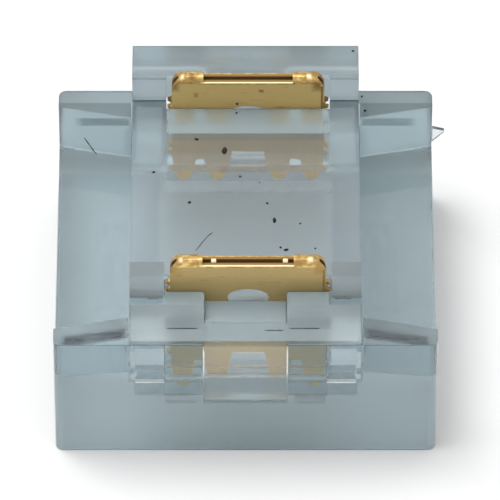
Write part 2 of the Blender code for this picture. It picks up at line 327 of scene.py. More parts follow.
CAP_PLASTIC = ClearPlastic(
    name="clear_cap_plastic",
    colour=(0.94, 0.97, 0.98),
    zones=(
        # Painted shade in every zone: the tongue's rear face, the rear skirt and hooks, the rear block's
        # front and top, the front slope, the tongue's front, the front skirt's bottom, the shelf, the
        # plateau's band, sides and edges, and the ridges.
        Zone((0.0, 6.91, 4.6), (1.7, 0.1, 1.9), 0.05, 0.3, (0.3, 0.36, 0.38)),
        Zone((0.0, 6.3, 3.6), (4.6, 0.35, 0.6), 0.1, 0.4, (0.4, 0.45, 0.47)),
        Zone((0.0, 5.2, 7.8), (4.6, 0.15, 0.6), 0.05, 0.4, (0.2, 0.265, 0.305)),
        Zone((0.0, 6.0, 8.43), (4.6, 1.0, 0.05), 0.05, 0.25, (0.52, 0.61, 0.65)),
        Zone((0.0, -6.15, 6.6), (4.6, 0.9, 0.75), 0.06, 0.3, (0.64, 0.74, 0.78)),
        Zone((0.0, -6.91, 3.35), (1.65, 0.06, 0.72), 0.08, 0.35, (0.64, 0.73, 0.77)),
        Zone((0.0, -5.9, 3.6), (1.7, 0.35, 0.06), 0.05, 0.3, (0.55, 0.6, 0.62)),
        Zone((0.0, -5.85, 6.71), (1.55, 0.6, 0.05), 0.03, 0.2, (0.84, 0.87, 0.87)),
        Zone((0.0, 3.95, 7.23), (3.0, 0.67, 0.03), 0.05, 0.25, (0.62, 0.71, 0.74)),
        Zone((-3.87, 3.3, 7.23), (0.65, 1.7, 0.03), 0.25, 0.35, (0.6, 0.71, 0.76)),
        Zone((3.97, 3.3, 7.23), (0.6, 1.7, 0.03), 0.25, 0.35, (0.6, 0.71, 0.76)),
        Zone((-3.95, -1.4, 7.23), (0.5, 2.8, 0.03), 0.2, 0.2, (0.82, 0.845, 0.88)),
        Zone((3.95, -1.4, 7.23), (0.5, 2.8, 0.03), 0.2, 0.2, (0.82, 0.845, 0.88)),
        Zone((-3.85, -5.26, 7.95), (0.68, 0.45, 0.65), 0.05, 0.35, (0.87, 0.915, 0.935)),
        Zone((3.85, -5.26, 7.95), (0.68, 0.45, 0.65), 0.05, 0.35, (0.87, 0.915, 0.935)),
    ),
    marks=(((0.0, 6.28, 8.43), 0.2),),
    haze=0.045,
)
TAN = (1.0, 0.61, 0.07)
# A painted highlight gold, and two darker golds that serve both as painted shade and as stains.
GOLD_HIGHLIGHT = (1.0, 0.83, 0.47)
DEEP_SHADE_AND_STAIN = (0.27, 0.15, 0.045)
DULL_SHADE_AND_STAIN = (0.42, 0.26, 0.085)


def contact_touches(middle: float, face: Colour) -> tuple[Touch, ...]:
    """The touches of one contact: its flat face, ragged duller gold, darker barbs, painted shade and painted
    highlights.

    Args:
        middle: Y of the middle of the fold, in millimetres.
        face: Colour of the flat face, painted shade on the front contact and painted light on the rear one.

    Returns:
        The touches.
    """
    front = middle - 0.285
    shoulders = tuple(
        touch
        for side in (-1.0, 1.0)
        for touch in (
            # Painted shade at the shoulders' ends, ragged duller gold on their tops, painted highlights on
            # them, painted shade along the side edges, and darker barbs.
            Touch((side * 2.86, middle, 8.45), (0.1, 0.3, 0.16), 0.22, DULL_SHADE_AND_STAIN, 0.8),
            Touch((side * 2.35, middle, 8.78), (0.4, 0.3, 0.1), 0.1, DULL_SHADE_AND_STAIN, 0.8, True),
            Touch((side * 2.5, middle - 0.1, 8.8), (0.04, 0.06, 0.04), 0.09, GOLD_HIGHLIGHT, 0.4),
            Touch((side * 3.0, middle, 7.75), (0.02, 0.3, 0.62), 0.03, DEEP_SHADE_AND_STAIN, 0.6),
            Touch((side * 3.16, middle, 7.35), (0.11, 0.3, 0.1), 0.1, DULL_SHADE_AND_STAIN, 0.7),
        )
    )
    return (
        # The flat face, ragged duller gold along the bend, painted shade along the front plate's top edge and
        # in the slot, and a painted highlight on that edge.
        Touch((0.0, front, 6.9), (3.2, 0.03, 1.6), 0.06, face, 0.5),
        Touch((0.0, middle, 8.72), (3.2, 0.3, 0.14), 0.05, DULL_SHADE_AND_STAIN, 0.85, True),
        Touch((0.05, front, 8.545), (1.9, 0.05, 0.015), 0.02, DEEP_SHADE_AND_STAIN, 0.5, True),
        Touch((0.05, middle, 8.5), (1.8, 0.2, 0.2), 0.02, DEEP_SHADE_AND_STAIN, 0.3),
        Touch((0.05, front + 0.03, 8.59), (1.8, 0.03, 0.02), 0.01, GOLD_HIGHLIGHT, 0.0),
        *shoulders,
    )


GILT = GiltSheet(
    name="gilt_sheet",
    colour=(0.88, 0.64, 0.25),
    worn=(0.66, 0.43, 0.15),
    touches=(
        Touch((0.0, 0.0, 3.6), (8.0, 8.0, 1.6), 0.6, TAN, 0.0),
        # Each contact's touches; the front face's darker tone is painted shade and the rear face's lighter
        # tone painted light, for what each face reflects.
        *contact_touches(-4.98, (0.45, 0.33, 0.135)),
        *contact_touches(4.98, (0.70, 0.49, 0.185)),
        # Stains on the contacts.
        Touch((-1.95, 4.68, 7.93), (0.02, 0.2, 0.06), 0.1, DULL_SHADE_AND_STAIN, 0.5),
        Touch((-2.1, 4.85, 8.8), (0.05, 0.12, 0.05), 0.08, DEEP_SHADE_AND_STAIN, 0.5),
        Touch((0.62, 4.68, 8.15), (0.05, 0.2, 0.03), 0.08, DEEP_SHADE_AND_STAIN, 0.5, True),
        Touch((-2.55, -5.27, 8.1), (0.12, 0.2, 0.04), 0.08, DULL_SHADE_AND_STAIN, 0.5, True),
    ),
)
# Painted shade: dark streaks along the front walls' tops.
WALL_TOP_SHADE = Smudge("rub_mark", (0.003, 0.035, 0.055), 1.0, (2600.0, 9000.0, 7000.0), 0.5, 0.17)
# Painted shade: a dark band in the rear walls.
REAR_WALL_SHADE = Smudge("wall_streak", (0.08, 0.15, 0.18), 0.5, (250.0, 400.0, 2500.0), 0.75)
MILK = Smudge("milky_skin", (0.6, 0.72, 0.76), 0.3, (600.0, 600.0, 600.0), 0.85)
TONGUE_MILK = Smudge("tongue_milk", (0.72, 0.8, 0.82), 0.16, (600.0, 600.0, 600.0), 0.85)
STRIP_MILK = Smudge("strip_milk", (0.55, 0.66, 0.68), 0.22, (600.0, 600.0, 600.0), 0.85)
THIN_MILK = Smudge("thin_milky_skin", (0.55, 0.66, 0.7), 0.19, (600.0, 600.0, 600.0), 0.85)
# Painted light: a paler band in the channel's floor.
LIGHT_BAND = Smudge("pale_band", (0.62, 0.72, 0.78), 0.22, (500.0, 120.0, 500.0))
# Painted reflection of the teeth on the front face.
TEETH_REFLECTION = Smudge("brown_band", (0.22, 0.215, 0.19), 0.5, (300.0, 300.0, 4200.0))
SEAM_LIGHT = Smudge("seam_light", (0.88, 0.9, 0.87), 0.95, (900.0, 900.0, 900.0), 0.7)
SEAM_FILL = Smudge("seam_fill", (0.30, 0.37, 0.40), 0.85, (900.0, 900.0, 900.0), 0.8)
# Thin dark lines on the cap; at the ridges' feet they are painted shade.
DARK_LINE = Smudge("seam_dark", (0.04, 0.065, 0.08), 0.9, (1500.0, 900.0, 900.0), 0.5)
WINDOW_SHEEN = Smudge("window_sheen", (0.26, 0.33, 0.36), 0.75, (600.0, 900.0, 900.0), 0.75)
KEY_FACE = Smudge("key_face", (0.5, 0.57, 0.6), 0.95, (400.0, 400.0, 900.0), 0.75)
# Pale dull gold that paints the highlights of the posts in the front contact's slot.
POST_HIGHLIGHT = Speckle("post_face", (0.9, 0.72, 0.42), (0.98, 0.84, 0.56))
GRIT = Speckle("dark_grit", (0.004, 0.004, 0.004), (0.02, 0.018, 0.016))


# ---- Shared shader groups ----


def new_group(name: str, inputs: list[tuple[str, str, object]], output: str) -> Tree:
    """A shader node group with named sockets.

    Args:
        name: Name of the group.
        inputs: Name, socket type and default of each input.
        output: Name of its one value output.

    Returns:
        The group, with its input and output nodes in place.
    """
    group = bpy.data.node_groups.new(name, "ShaderNodeTree")
    for label, kind, default in inputs:
        socket = group.interface.new_socket(label, in_out="INPUT", socket_type=kind)
        socket.default_value = default
    group.interface.new_socket(output, in_out="OUTPUT", socket_type="NodeSocketFloat")
    group.nodes.new("NodeGroupInput").name = "in"
    group.nodes.new("NodeGroupOutput").name = "out"
    return group


def feed(tree: Tree, socket: Socket, value: object) -> None:
    """Links a socket to an input, or sets the input to a plain value.

    Args:
        tree: Tree of the input.
        socket: The input.
        value: The other socket, or the plain value.
    """
    if isinstance(value, Socket):
        tree.links.new(value, socket)
    else:
        socket.default_value = value


def math_node(tree: Tree, operation: str, *values: Value, clamp: bool = False) -> Socket:
    """One Math node.

    Args:
        tree: Tree that gets the node.
        operation: Name of the operation.
        values: The node's inputs in order, each a number or a socket.
        clamp: Whether the result is kept from 0 to 1.

    Returns:
        The node's output.
    """
    node = tree.nodes.new("ShaderNodeMath")
    node.operation = operation
    node.use_clamp = clamp
    for socket, value in zip(node.inputs, values):
        feed(tree, socket, value)
    return node.outputs[0]


def vector_node(tree: Tree, operation: str, first: Socket, second: Socket | None = None) -> bpy.types.Node:
    """One Vector Math node.

    Args:
        tree: Tree that gets the node.
        operation: Name of the operation.
        first: Its first input.
        second: Its second input, where the operation has one.

    Returns:
        The node.
    """
    node = tree.nodes.new("ShaderNodeVectorMath")
    node.operation = operation
    tree.links.new(first, node.inputs[0])
    if second is not None:
        tree.links.new(second, node.inputs[1])
    return node


def place_mask_group() -> Tree:
    """The mask of a box with soft edges.

    The mask is 1 in the box. Outside it falls off by the largest of the three distances along X, Y and Z,
    and is 0 from one softness away.

    Returns:
        The group.
    """
    group = new_group(
        "place_mask",
        [
            ("Vector", "NodeSocketVector", (0.0, 0.0, 0.0)),
            ("Centre", "NodeSocketVector", (0.0, 0.0, 0.0)),
            ("Half Size", "NodeSocketVector", (0.001, 0.001, 0.001)),
            ("Softness", "NodeSocketFloat", 0.0001),
        ],
        "Mask",
    )
    sockets = group.nodes["in"].outputs
    away = vector_node(group, "SUBTRACT", sockets["Vector"], sockets["Centre"])
    apart = vector_node(group, "ABSOLUTE", away.outputs[0])
    outside = vector_node(group, "SUBTRACT", apart.outputs[0], sockets["Half Size"])
    split = group.nodes.new("ShaderNodeSeparateXYZ")
    group.links.new(outside.outputs[0], split.inputs[0])
    largest = math_node(group, "MAXIMUM", split.outputs[0], split.outputs[1])
    largest = math_node(group, "MAXIMUM", largest, split.outputs[2])
    fade = math_node(group, "DIVIDE", largest, sockets["Softness"])
    mask = math_node(group, "SUBTRACT", 1.0, fade, clamp=True)
    group.links.new(mask, group.nodes["out"].inputs["Mask"])
    return group


def mottle_group() -> Tree:
    """A cloudy value from 0 to 1: noise, stretched by a scale for each axis and spread between two levels.

    Returns:
        The group.
    """
    group = new_group(
        "mottle",
        [
            ("Vector", "NodeSocketVector", (0.0, 0.0, 0.0)),
            ("Stretch", "NodeSocketVector", (1000.0, 1000.0, 1000.0)),
            ("Low", "NodeSocketFloat", 0.35),
            ("High", "NodeSocketFloat", 0.65),
        ],
        "Value",
    )
    sockets = group.nodes["in"].outputs
    spread = vector_node(group, "MULTIPLY", sockets["Vector"], sockets["Stretch"])
    noise = group.nodes.new("ShaderNodeTexNoise")
    noise.inputs["Scale"].default_value = 1.0
    noise.inputs["Detail"].default_value = 5.0
    noise.inputs["Roughness"].default_value = 0.6
    group.links.new(spread.outputs[0], noise.inputs["Vector"])
    rise = math_node(group, "SUBTRACT", noise.outputs["Fac"], sockets["Low"])
    span = math_node(group, "SUBTRACT", sockets["High"], sockets["Low"])
    value = math_node(group, "DIVIDE", rise, span, clamp=True)
    group.links.new(value, group.nodes["out"].inputs["Value"])
    return group


def disc_mark_group() -> Tree:
    """The mask of a thin ring round a point, which falls off on both sides of the radius.

    Returns:
        The group.
    """
    group = new_group(
        "disc_mark",
        [
            ("Vector", "NodeSocketVector", (0.0, 0.0, 0.0)),
            ("Centre", "NodeSocketVector", (0.0, 0.0, 0.0)),
            ("Radius", "NodeSocketFloat", 0.0003),
            ("Width", "NodeSocketFloat", 0.00006),
        ],
        "Mask",
    )
    sockets = group.nodes["in"].outputs
    reach = vector_node(group, "DISTANCE", sockets["Vector"], sockets["Centre"])
    off = math_node(group, "SUBTRACT", reach.outputs["Value"], sockets["Radius"])
    off = math_node(group, "ABSOLUTE", off)
    off = math_node(group, "DIVIDE", off, sockets["Width"])
    mask = math_node(group, "SUBTRACT", 1.0, off, clamp=True)
    group.links.new(mask, group.nodes["out"].inputs["Mask"])
    return group


class ShaderKit:
    """The shared groups, each built once, and what places them in a material."""

    def __init__(self) -> None:
        """Builds the three groups."""
        self.place_mask = place_mask_group()
        self.mottle = mottle_group()
        self.disc_mark = disc_mark_group()

    def material(self, name: str) -> tuple[bpy.types.Material, bpy.types.Node, Socket]:
        """A new material with its shader and Object coordinates.

        Args:
            name: Name of the material.

        Returns:
            The material, its Principled shader and the coordinates' socket.
        """
        material = bpy.data.materials.new(name)
        material.use_nodes = True
        tree = material.node_tree
        where = tree.nodes.new("ShaderNodeTexCoord").outputs["Object"]
        return material, tree.nodes["Principled BSDF"], where

    def place(self, tree: Tree, group: Tree, where: Socket, **values: object) -> Socket:
        """Places one of the groups in a material.

        Args:
            tree: Tree of the material.
            group: The group.
            where: The coordinates' socket.
            values: Values of the group's other inputs; an underscore in a name stands for a space.

        Returns:
            The group's output.
        """
        node = tree.nodes.new("ShaderNodeGroup")
        node.node_tree = group
        tree.links.new(where, node.inputs["Vector"])
        for label, value in values.items():
            node.inputs[label.replace("_", " ")].default_value = value
        return node.outputs[0]

    def box_mask(self, tree: Tree, where: Socket, centre: Point, half: Point, softness: float) -> Socket:
        """Places place_mask.

        Args:
            tree: Tree of the material.
            where: The coordinates' socket.
            centre: Middle of the box, in millimetres.
            half: Half its size, in millimetres.
            softness: Width of the fade outside it, in millimetres.

        Returns:
            The mask.
        """
        sizes = {"Centre": [c * MM for c in centre], "Half_Size": [h * MM for h in half]}
        return self.place(tree, self.place_mask, where, Softness=softness * MM, **sizes)

    def cloud(self, tree: Tree, where: Socket, mottle: Mottle) -> Socket:
        """Places mottle.

        Args:
            tree: Tree of the material.
            where: The coordinates' socket.
            mottle: Its scales and levels.

        Returns:
            The cloud's value.
        """
        return self.place(tree, self.mottle, where, Stretch=mottle.stretch, Low=mottle.low, High=mottle.high)

    def ring(self, tree: Tree, where: Socket, centre: Point, radius: float, width: float) -> Socket:
        """Places disc_mark.

        Args:
            tree: Tree of the material.
            where: The coordinates' socket.
            centre: Middle of the ring, in millimetres.
            radius: Its radius, in millimetres.
            width: Width of its line on either side of the radius, in millimetres.

        Returns:
            The mask.
        """
        middle = [c * MM for c in centre]
        return self.place(tree, self.disc_mark, where, Centre=middle, Radius=radius * MM, Width=width * MM)

    def blend(
        self, tree: Tree, factor: Socket, first: Colour | Socket, second: Colour | Socket, kind: str = "MIX"
    ) -> Socket:
        """One colour mix; each colour is a triple or a socket.

        Args:
            tree: Tree that gets the node.
            factor: Socket of the factor.
            first: Colour at factor 0.
            second: Colour at factor 1.
            kind: Blend type.

        Returns:
            The mixed colour's socket.
        """
        node = tree.nodes.new("ShaderNodeMix")
        node.data_type = "RGBA"
        node.blend_type = kind
        tree.links.new(factor, node.inputs[0])
        for socket, value in ((node.inputs[6], first), (node.inputs[7], second)):
            feed(tree, socket, value if isinstance(value, Socket) else (*value, 1.0))
        return node.outputs[2]

    def relief(
        self, tree: Tree, shader: bpy.types.Node, height: Socket, strength: float, depth: float
    ) -> None:
        """Feeds a height through a Bump node to the shader's Normal.

        Args:
            tree: Tree of the material.
            shader: Its Principled shader.
            height: Socket of the height, 0 to 1.
            strength: Strength of the bump.
            depth: Depth of the relief, in millimetres.
        """
        bump = tree.nodes.new("ShaderNodeBump")
        bump.inputs["Strength"].default_value = strength
        bump.inputs["Distance"].default_value = depth * MM
        tree.links.new(height, bump.inputs["Height"])
        tree.links.new(bump.outputs["Normal"], shader.inputs["Normal"])

    def plastic(self, finish: ClearPlastic) -> bpy.types.Material:
        """Clear plastic: zones paint shade and light into its colour and roughen it, and a fine skin lies
        over all.

        Args:
            finish: The finish to make.

        Returns:
            The new material.
        """
        material, shader, where = self.material(finish.name)
        tree = material.node_tree
        shader.inputs["IOR"].default_value = finish.ior
        shader.inputs["Transmission Weight"].default_value = 1.0 - finish.haze
        cast = self.cloud(tree, where, finish.cast)
        deeper = tuple(c * finish.deeper for c in finish.colour)
        colour = self.blend(tree, cast, finish.colour, deeper)
        skin = self.cloud(tree, where, finish.skin)
        rough = math_node(tree, "MULTIPLY_ADD", skin, finish.roughness, finish.roughness * 0.5)
        for zone in finish.zones:
            mask = self.box_mask(tree, where, zone.centre, zone.half, zone.softness)
            rough = math_node(tree, "MULTIPLY_ADD", mask, zone.roughness, rough)
            colour = self.blend(tree, mask, colour, zone.shade, "MULTIPLY")
        for centre, radius in finish.marks:
            ring = self.ring(tree, where, centre, radius, finish.mark_width)
            colour = self.blend(tree, ring, colour, finish.mark_shade, "MULTIPLY")
        tree.links.new(colour, shader.inputs["Base Color"])
        tree.links.new(rough, shader.inputs["Roughness"])
        self.relief(tree, shader, skin, finish.grain, finish.grain_depth)
        return material

    def gilt(self, finish: GiltSheet) -> bpy.types.Material:
        """Gold plating: lines drawn along X, duller patches and touches with a colour of their own.

        Args:
            finish: The finish to make.

        Returns:
            The new material.
        """
        material, shader, where = self.material(finish.name)
        tree = material.node_tree
        patches = self.cloud(tree, where, finish.patches)
        drawn = self.cloud(tree, where, finish.drawn)
        colour = self.blend(tree, patches, finish.colour, finish.worn)
        specks = self.cloud(tree, where, finish.specks)
        colour = self.blend(tree, specks, colour, finish.worn)
        metal: Value = finish.metal
        for touch in finish.touches:
            mask = self.box_mask(tree, where, touch.centre, touch.half, touch.softness)
            if touch.ragged:
                mask = math_node(tree, "MULTIPLY", mask, self.cloud(tree, where, finish.tatters))
            colour = self.blend(tree, mask, colour, touch.colour)
            toward = math_node(tree, "SUBTRACT", touch.metal, metal)
            metal = math_node(tree, "MULTIPLY_ADD", toward, mask, metal)
        rough = math_node(tree, "MULTIPLY_ADD", drawn, finish.drawn_rough, finish.roughness)
        rough = math_node(tree, "MULTIPLY_ADD", patches, finish.patch_rough, rough)
        tree.links.new(colour, shader.inputs["Base Color"])
        feed(tree, shader.inputs["Metallic"], metal)
        tree.links.new(rough, shader.inputs["Roughness"])
        self.relief(tree, shader, drawn, finish.drawn_relief, finish.drawn_depth)
        return material

    def smudge(self, finish: Smudge, core: Core) -> bpy.types.Material:
        """A mark whose opacity follows a stretched cloud and fades outside its core.

        Args:
            finish: The finish to make.
            core: Where it is strongest.

        Returns:
            The new material.
        """
        material, shader, where = self.material(finish.name)
        tree = material.node_tree
        shader.inputs["Base Color"].default_value = (*finish.colour, 1.0)
        shader.inputs["Roughness"].default_value = finish.roughness
        cloud = self.cloud(tree, where, Mottle(finish.stretch, finish.low, finish.high))
        if finish.slant:
            split = tree.nodes.new("ShaderNodeSeparateXYZ")
            tree.links.new(where, split.inputs[0])
            away = math_node(tree, "ABSOLUTE", split.outputs[0])
            lean = tree.nodes.new("ShaderNodeCombineXYZ")
            tree.links.new(math_node(tree, "MULTIPLY", away, finish.slant), lean.inputs[1])
            where = vector_node(tree, "ADD", where, lean.outputs[0]).outputs[0]
        mask = self.box_mask(tree, where, core.centre, core.half, core.fade)
        patchy = math_node(tree, "MULTIPLY_ADD", cloud, 1.0 - finish.even, finish.even)
        alpha = math_node(tree, "MULTIPLY", patchy, mask)
        alpha = math_node(tree, "MULTIPLY", alpha, finish.strength, clamp=True)
        tree.links.new(alpha, shader.inputs["Alpha"])
        return material

    def speckle(self, finish: Speckle) -> bpy.types.Material:
        """A dull finish that a fine cloud mottles.

        Args:
            finish: The finish to make.

        Returns:
            The new material.
        """
        material, shader, where = self.material(finish.name)
        tree = material.node_tree
        shader.inputs["Roughness"].default_value = finish.roughness
        cloud = self.cloud(tree, where, finish.grain)
        tree.links.new(self.blend(tree, cloud, finish.dark, finish.light), shader.inputs["Base Color"])
        return material


# ---- Mesh helpers ----


def moulded_copy(node: bpy.types.Object, name: str, edge: float, segments: int = 2) -> bpy.types.Object:
    """A copy of a frame node with merged corners and softly rounded edges.

    Args:
        node: The frame's node, which stays as it is.
        name: Name of the new object.
        edge: Width of the rounding, in millimetres.
        segments: Steps of the rounding.

    Returns:
        The new object, at the origin.
    """
    mesh = node.data.copy()
    mesh.name = name
    shape = bmesh.new()
    shape.from_mesh(mesh)
    bmesh.ops.remove_doubles(shape, verts=shape.verts, dist=WELD)
    shape.to_mesh(mesh)
    shape.free()
    obj = bpy.data.objects.new(name, mesh)
    bpy.context.scene.collection.objects.link(obj)
    bevel = obj.modifiers.new("soft_edges", "BEVEL")
    bevel.width = edge * MM
    bevel.segments = segments
    bevel.limit_method = "ANGLE"
    bevel.angle_limit = SHARP
    bevel.harden_normals = True
    return obj


def mesh_object(
    name: str, points: np.ndarray, faces: list[list[int]], smooth: bool = True
) -> bpy.types.Object:
    """A mesh object from points in millimetres.

    Args:
        name: Name of the object.
        points: Array of points, one row each.
        faces: Lists of point indices.
        smooth: Whether the faces are shaded smooth.

    Returns:
        The new object, at the origin.
    """
    mesh = bpy.data.meshes.new(name)
    mesh.from_pydata((points * MM).tolist(), [], faces)
    mesh.polygons.foreach_set("use_smooth", np.full(len(mesh.polygons), smooth))
    mesh.update()
    obj = bpy.data.objects.new(name, mesh)
    bpy.context.scene.collection.objects.link(obj)
    return obj


def ruled_sheet(name: str, first: Edge, second: Edge, steps: int = 12) -> bpy.types.Object:
    """A flat or twisted sheet between two straight edges.

    Each point is (1 - v) times a point of the first edge plus v times the matching point of the second.

    Args:
        name: Name of the object.
        first: Ends of the first edge, in millimetres.
        second: Ends of the second edge, in millimetres.
        steps: Divisions each way.

    Returns:
        The new object.
    """
    u = np.linspace(0.0, 1.0, steps + 1)[None, :, None]
    v = np.linspace(0.0, 1.0, steps + 1)[:, None, None]
    a, b = np.array(first), np.array(second)
    low = a[0] * (1 - u) + a[1] * u
    high = b[0] * (1 - u) + b[1] * u
    points = (low * (1 - v) + high * v).reshape(-1, 3)
    index = np.arange(len(points)).reshape(steps + 1, steps + 1)
    quads = np.stack([index[:-1, :-1], index[:-1, 1:], index[1:, 1:], index[1:, :-1]], axis=2)
    return mesh_object(name, points, quads.reshape(-1, 4).tolist(), smooth=False)


def ring_faces(index: np.ndarray) -> np.ndarray:
    """Quads between successive closed rings of points.

    Args:
        index: Point indices, one ring in a row; seen from the first ring's side, each turns anticlockwise.

    Returns:
        The quads, one row each, which face away from the rings' axis.
    """
    right = np.roll(index, -1, axis=1)
    return np.stack([index[:-1], index[1:], right[1:], right[:-1]], axis=2).reshape(-1, 4)


def unit_ball(rings: int, around: int) -> tuple[np.ndarray, np.ndarray, np.ndarray]:
    """A unit sphere.

    A point is sin t cos a along X, sin t sin a along Y and cos t along Z, with t down from the top and a
    round the axis.

    Args:
        rings: Rings between its two poles.
        around: Points in a ring.

    Returns:
        Its points, its quads and the triangles at its poles, one row each.
    """
    t = np.linspace(0.0, np.pi, rings + 2)[1:-1][:, None]
    a = np.linspace(0.0, 2 * np.pi, around, endpoint=False)[None, :]
    shell = np.stack([np.sin(t) * np.cos(a), np.sin(t) * np.sin(a), np.cos(t) + 0 * a], axis=2)
    points = np.concatenate([[[0.0, 0.0, 1.0]], shell.reshape(-1, 3), [[0.0, 0.0, -1.0]]])
    index = 1 + np.arange(rings * around).reshape(rings, around)
    right = np.roll(index, -1, axis=1)
    top = np.stack([np.zeros(around, int), index[0], right[0]], axis=1)
    bottom = np.stack([np.full(around, len(points) - 1), right[-1], index[-1]], axis=1)
    return points, ring_faces(index), np.concatenate([top, bottom])


def soft_block(name: str, centre: Point, half: Point, power: float = 0.35) -> bpy.types.Object:
    """A block with rounded corners.

    Each point is the centre plus the half sizes times a point of the unit sphere whose three
    coordinates keep their signs and are raised to the power.

    Args:
        name: Name of the object.
        centre: Its middle, in millimetres.
        half: Half its size, in millimetres.
        power: The power; near 0 the corners are sharp, and at 1 the block is an ellipsoid.

    Returns:
        The new object, closed.
    """
    ball, quads, caps = unit_ball(11, 24)
    points = np.array(centre) + np.array(half) * np.sign(ball) * np.abs(ball) ** power
    return mesh_object(name, points, quads.tolist() + caps.tolist())


def domed_disc(name: str, centre: Point, half: Span, dome: float) -> bpy.types.Object:
    """An upright oval disc, domed towards -Y.

    A point at share r of the radius and angle a is the centre plus r times the half width times
    cos a along X, r times the half height times sin a along Z, and -dome times (1 - r squared) along Y.

    Args:
        name: Name of the object.
        centre: Its middle, in millimetres.
        half: Half its width and half its height, in millimetres.
        dome: Height of the dome, in millimetres.

    Returns:
        The new object.
    """
    rings, around, innermost = 10, 48, 0.04
    r = np.linspace(1.0, innermost, rings)[:, None]
    a = np.linspace(0.0, 2 * np.pi, around, endpoint=False)[None, :]
    x = centre[0] + r * half[0] * np.cos(a)
    y = centre[1] - dome * (1.0 - r**2) + 0 * a
    z = centre[2] + r * half[1] * np.sin(a)
    index = np.arange(rings * around).reshape(rings, around)
    faces = ring_faces(index[:, ::-1]).tolist() + [index[-1].tolist()]
    return mesh_object(name, np.stack([x, y, z], axis=2).reshape(-1, 3), faces)


def swept_fibre(name: str, path: list[Point], radius: float, seed: int) -> bpy.types.Object:
    """A thin fibre: a circle carried along a smooth path.

    The path is the polynomial curve through the given points, and each ring is the path's point plus
    radius times cosine and sine along two directions at right angles to it.

    Args:
        name: Name of the object.
        path: Points that the fibre passes, in millimetres.
        radius: Radius, in millimetres.
        seed: Seed of its slight unevenness.

    Returns:
        The new object, closed at both ends.
    """
    rings, sides, uneven = 28, 8, 0.25
    knots = np.linspace(0.0, 1.0, len(path))
    t = np.linspace(0.0, 1.0, rings)
    fit = np.polynomial.polynomial.polyfit(knots, np.array(path), len(path) - 1)
    centre = np.polynomial.polynomial.polyval(t, fit).T
    ahead = np.gradient(centre, axis=0)
    ahead /= np.linalg.norm(ahead, axis=1, keepdims=True)
    side = np.cross(ahead, np.array([0.0, 0.0, 1.0]) + 0.01)
    side /= np.linalg.norm(side, axis=1, keepdims=True)
    over = np.cross(side, ahead)
    rng = np.random.default_rng(seed)
    width = radius * (1.0 + uneven * rng.standard_normal(rings)).clip(0.5, 1.5)
    angle = np.linspace(0.0, 2 * np.pi, sides, endpoint=False)[None, :, None]
    ring = np.cos(angle) * side[:, None] + np.sin(angle) * over[:, None]
    points = (centre[:, None] + width[:, None, None] * ring).reshape(-1, 3)
    index = np.arange(rings * sides).reshape(rings, sides)
    ends = [index[0].tolist(), index[-1][::-1].tolist()]
    return mesh_object(name, points, ring_faces(index).tolist() + ends)


def grains(name: str, places: np.ndarray, sizes: np.ndarray, seed: int) -> bpy.types.Object:
    """Irregular grains of dust in one mesh.

    A grain's point is its centre plus its three half sizes times a point of the unit sphere, times one
    plus a small random number.

    Args:
        name: Name of the object.
        places: Centres, in millimetres.
        sizes: Half sizes along X, Y and Z, in millimetres.
        seed: Seed of the unevenness.

    Returns:
        The new object.
    """
    uneven = 0.28
    ball, quads, caps = unit_ball(5, 9)
    count, each = len(places), len(ball)
    rng = np.random.default_rng(seed)
    rough = 1.0 + uneven * rng.standard_normal((count, each, 1)).clip(-1.4, 1.4)
    points = (places[:, None] + sizes[:, None] * ball[None] * rough).reshape(-1, 3)
    shift = each * np.arange(count)[:, None, None]
    faces = (quads + shift).reshape(-1, 4).tolist() + (caps + shift).reshape(-1, 3).tolist()
    return mesh_object(name, points, faces)


# ---- Sub-assemblies ----


@dataclass
class Assembly:
    """What the sub-assemblies share: the maker of their materials and a list of the pieces built.

    Args:
        kit: Maker of the materials.
    """

    kit: ShaderKit
    pieces: list[bpy.types.Object] = field(default_factory=list, init=False)

    def dress(self, obj: bpy.types.Object, material: bpy.types.Material, body: Body, slot: Slot) -> None:
        """Gives a piece its one material and its body, and lists it.

        Args:
            obj: The piece.
            material: Its material.
            body: The body that it rides on.
            slot: Its material slot in the record; not used.
        """
        obj.data.materials.clear()
        obj.data.materials.append(material)
        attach(obj, body.value)
        self.pieces.append(obj)


@dataclass
class Housing(Assembly):
    """The clear base.

    Args:
        kit: Maker of the materials.
        frame: The loaded frame.
        finish: Its plastic.
        soft_edge: Width of its rounded edges, in millimetres.
    """

    frame: dict
    finish: ClearPlastic = BASE_PLASTIC
    soft_edge: float = 0.06

    def build(self) -> None:
        """Builds the base's shell."""
        shell = moulded_copy(self.frame["nodes"]["base_housing"], "base_shell", self.soft_edge)
        self.dress(shell, self.kit.plastic(self.finish), Body.BASE, Slot.BASE)
        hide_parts("base_housing")


@dataclass
class PressCap(Assembly):
    """The clear cap.

    Args:
        kit: Maker of the materials.
        frame: The loaded frame.
        finish: Its plastic.
        soft_edge: Width of its rounded edges, in millimetres.
    """

    frame: dict
    finish: ClearPlastic = CAP_PLASTIC
    soft_edge: float = 0.05

    def build(self) -> None:
        """Builds the cap's shell."""
        shell = moulded_copy(self.frame["nodes"]["cap"], "cap_shell", self.soft_edge)
        self.dress(shell, self.kit.plastic(self.finish), Body.CAP, Slot.CAP)
        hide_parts("cap")


